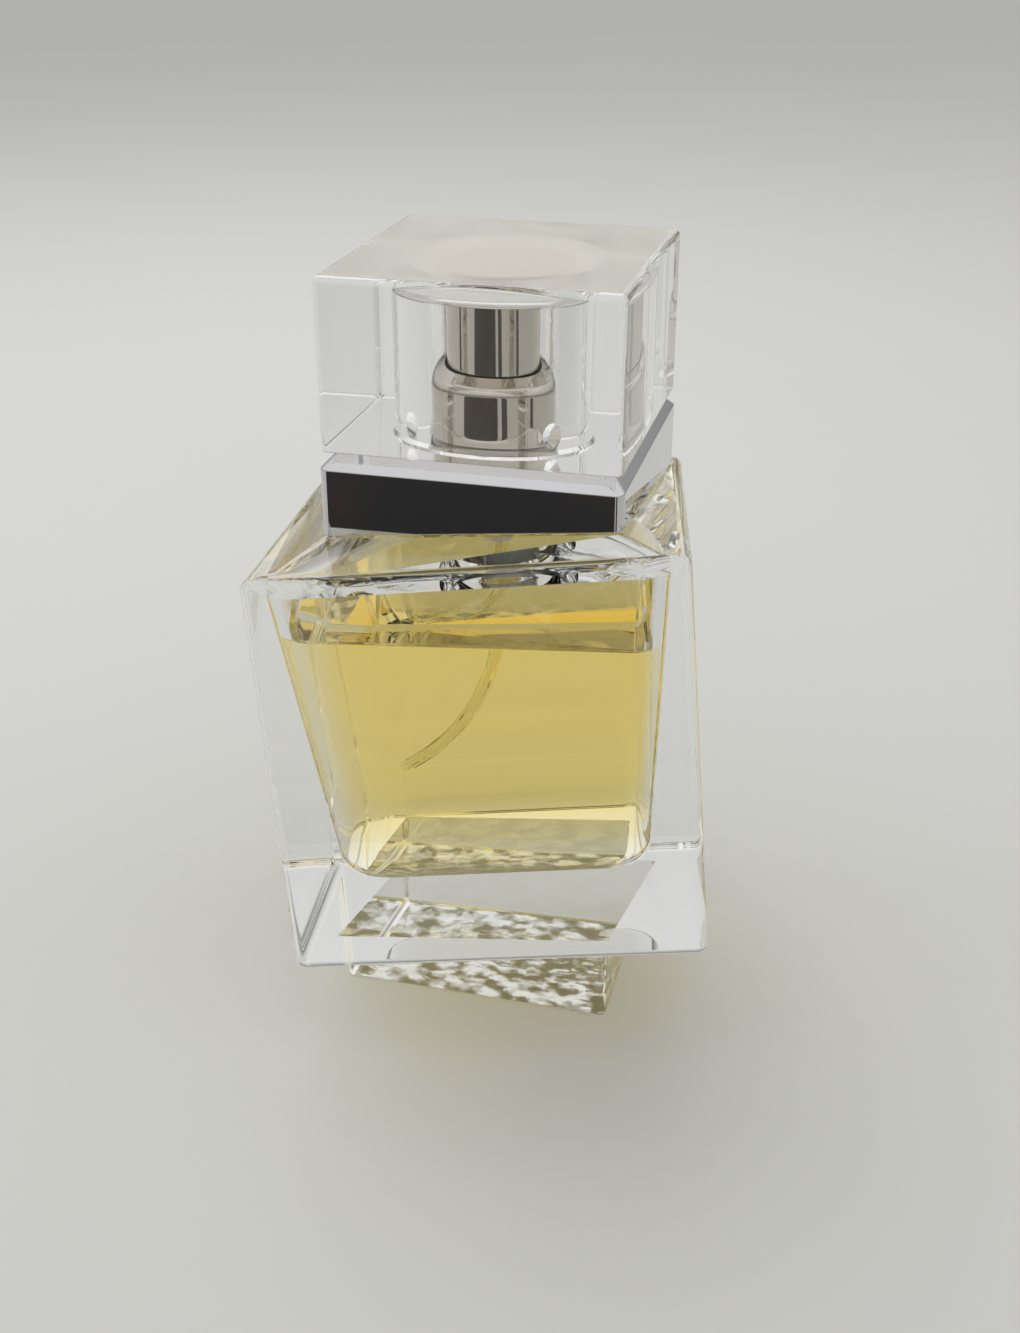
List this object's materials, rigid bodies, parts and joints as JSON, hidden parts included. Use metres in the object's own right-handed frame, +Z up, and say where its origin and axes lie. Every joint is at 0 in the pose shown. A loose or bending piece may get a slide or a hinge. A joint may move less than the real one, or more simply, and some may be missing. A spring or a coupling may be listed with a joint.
{
  "type": "perfume bottle",
  "caption": "Leaning thick-walled glass spray bottle on a level glass foot, with a wedge metal collar, crimped pump and clear square cap.",
  "frame": {"origin": "centre of the foot's flat underside, on the pump's axis", "axes": "+Z up along the pump's axis; +X and +Y square to the foot, collar and cap; the spray leaves along +Y"},
  "size_m": [0.0652, 0.0652, 0.0963],
  "materials": {
    "glass": "polished clear glass",
    "perfume": "clear pale yellow liquid",
    "clear_plastic": "polished clear acrylic",
    "tube_plastic": "translucent polyethylene",
    "chrome": "mirror polished plating",
    "aluminium": "satin",
    "steel": "plain wire and ball",
    "white_plastic": "moulded, natural white",
    "dark_plastic": "moulded, dark",
    "rubber": "soft seal"
  },
  "bodies": {
    "bottle": {"glass_bottle": "glass", "perfume": "perfume", "dip_tube": "tube_plastic", "collar_shell": "chrome", "collar_core": "dark_plastic", "crimp_ferrule": "aluminium", "ferrule_cover": "chrome", "pump_housing": "white_plastic", "neck_gasket": "rubber", "stem_gasket": "rubber", "turret": "white_plastic", "return_spring": "steel"},
    "stem": {"stem": "white_plastic", "piston": "white_plastic", "valve_pin": "white_plastic"},
    "actuator": {"actuator_core": "white_plastic", "actuator_shell": "chrome", "spray_insert": "dark_plastic"},
    "ball": {"check_ball": "steel"},
    "cap": {"cap_block": "clear_plastic"}
  },
  "joints": [
    {"name": "pump_press", "type": "slide", "parent": "bottle", "child": "stem", "axis": [0, 0, -1], "range_m": [0, 0.0045], "stiffness_N_per_m": 1500, "springref_m": -0.004, "deforming": ["return_spring"]},
    {"name": "actuator_turn", "type": "hinge", "parent": "stem", "child": "actuator", "pos_m": [0, 0, 0.088], "axis": [0, 0, 1], "continuous": true},
    {"name": "ball_lift", "type": "slide", "parent": "bottle", "child": "ball", "axis": [0, 0, 1], "range_m": [0, 0.0005]},
    {"name": "cap_lift", "type": "slide", "parent": "bottle", "child": "cap", "axis": [0, 0, 1], "range_m": [0, 0.03]}
  ]
}
